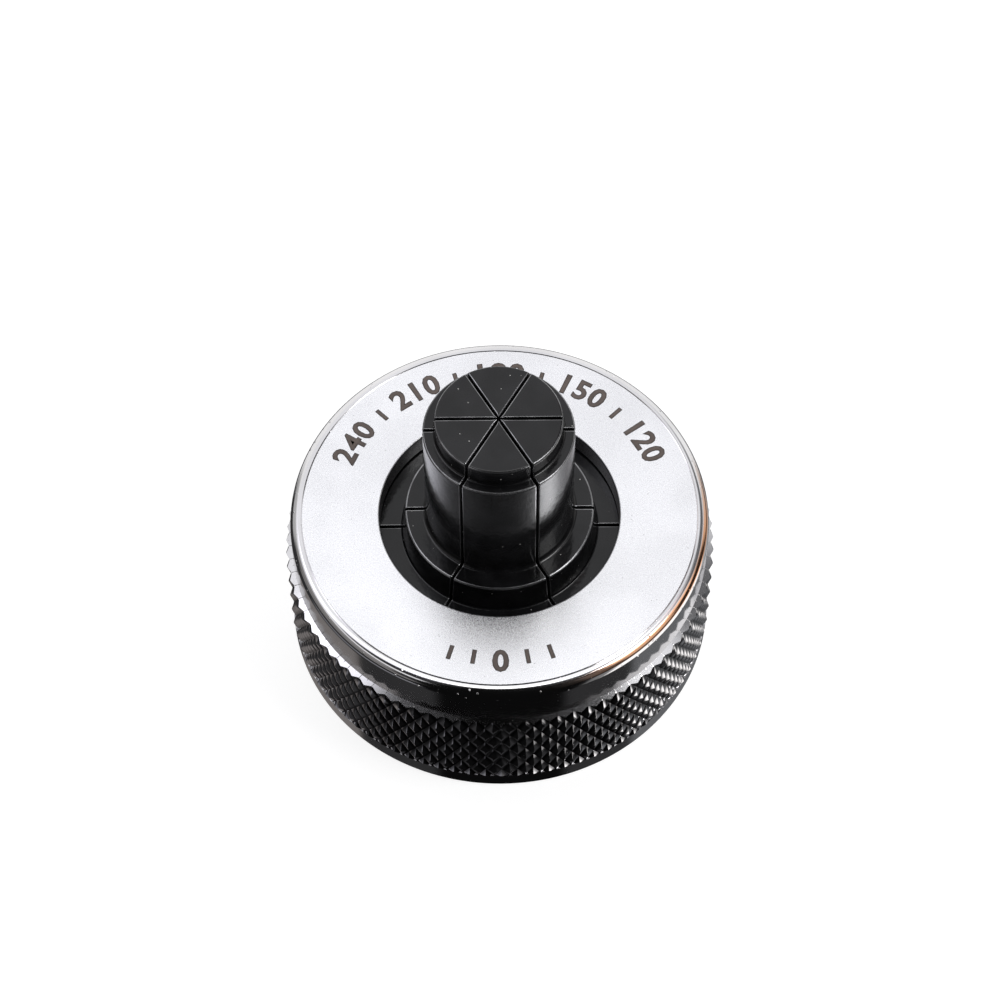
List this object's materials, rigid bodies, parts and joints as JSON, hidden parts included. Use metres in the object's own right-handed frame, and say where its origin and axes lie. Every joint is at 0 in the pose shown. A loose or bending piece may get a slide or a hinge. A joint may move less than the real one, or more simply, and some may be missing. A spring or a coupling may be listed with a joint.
{
  "type": "tube expander head",
  "caption": "Screw-on expander head: a knurled cap holds sliding jaws that a cone parts to swage the end of a copper tube.",
  "frame": {"origin": "middle of the cap's rear rim, on the surface that the head stands on", "axes": "+Z along the head's axis towards the nose, -Y through the middle of jaw 1"},
  "size_m": [0.0494, 0.0494, 0.0388],
  "materials": {
    "cap_steel": "bright plated steel with a satin face and a diamond knurled grip",
    "jaw_steel": "black oxide, oiled",
    "pin_steel": "ground",
    "washer_steel": "zinc plated",
    "spring_steel": "phosphated spring steel"
  },
  "bodies": {
    "cap": {"knurled_cap": "cap_steel", "circlip": "spring_steel"},
    "jaw_carrier": {"thrust_washer": "washer_steel", "return_spring": "spring_steel"},
    "jaw_1": {"jaw_1": "jaw_steel", "guide_pin_1": "pin_steel"},
    "jaw_2": {"jaw_2": "jaw_steel", "guide_pin_2": "pin_steel"},
    "jaw_3": {"jaw_3": "jaw_steel", "guide_pin_3": "pin_steel"},
    "jaw_4": {"jaw_4": "jaw_steel", "guide_pin_4": "pin_steel"},
    "jaw_5": {"jaw_5": "jaw_steel", "guide_pin_5": "pin_steel"},
    "jaw_6": {"jaw_6": "jaw_steel", "guide_pin_6": "pin_steel"}
  },
  "joints": [
    {"name": "pack_turn", "type": "hinge", "parent": "cap", "child": "jaw_carrier", "pos_m": [0, 0, 0.0143], "axis": [0, 0, 1], "continuous": true},
    {"name": "jaw_1_slide", "type": "slide", "parent": "jaw_carrier", "child": "jaw_1", "axis": [0, -1, 0], "range_m": [0, 0.00118], "stiffness_N_per_m": 1500, "springref_m": -0.002, "deforming": ["return_spring"]},
    {"name": "jaw_2_slide", "type": "slide", "parent": "jaw_carrier", "child": "jaw_2", "axis": [0.866, -0.5, 0], "range_m": [0, 0.00118], "stiffness_N_per_m": 1500, "springref_m": -0.002},
    {"name": "jaw_3_slide", "type": "slide", "parent": "jaw_carrier", "child": "jaw_3", "axis": [0.866, 0.5, 0], "range_m": [0, 0.00118], "stiffness_N_per_m": 1500, "springref_m": -0.002},
    {"name": "jaw_4_slide", "type": "slide", "parent": "jaw_carrier", "child": "jaw_4", "axis": [0, 1, 0], "range_m": [0, 0.00118], "stiffness_N_per_m": 1500, "springref_m": -0.002},
    {"name": "jaw_5_slide", "type": "slide", "parent": "jaw_carrier", "child": "jaw_5", "axis": [-0.866, 0.5, 0], "range_m": [0, 0.00118], "stiffness_N_per_m": 1500, "springref_m": -0.002},
    {"name": "jaw_6_slide", "type": "slide", "parent": "jaw_carrier", "child": "jaw_6", "axis": [-0.866, -0.5, 0], "range_m": [0, 0.00118], "stiffness_N_per_m": 1500, "springref_m": -0.002}
  ],
  "couplings": [
    {"joint": "jaw_2_slide", "follows": "jaw_1_slide", "ratio": 1},
    {"joint": "jaw_3_slide", "follows": "jaw_1_slide", "ratio": 1},
    {"joint": "jaw_4_slide", "follows": "jaw_1_slide", "ratio": 1},
    {"joint": "jaw_5_slide", "follows": "jaw_1_slide", "ratio": 1},
    {"joint": "jaw_6_slide", "follows": "jaw_1_slide", "ratio": 1}
  ]
}
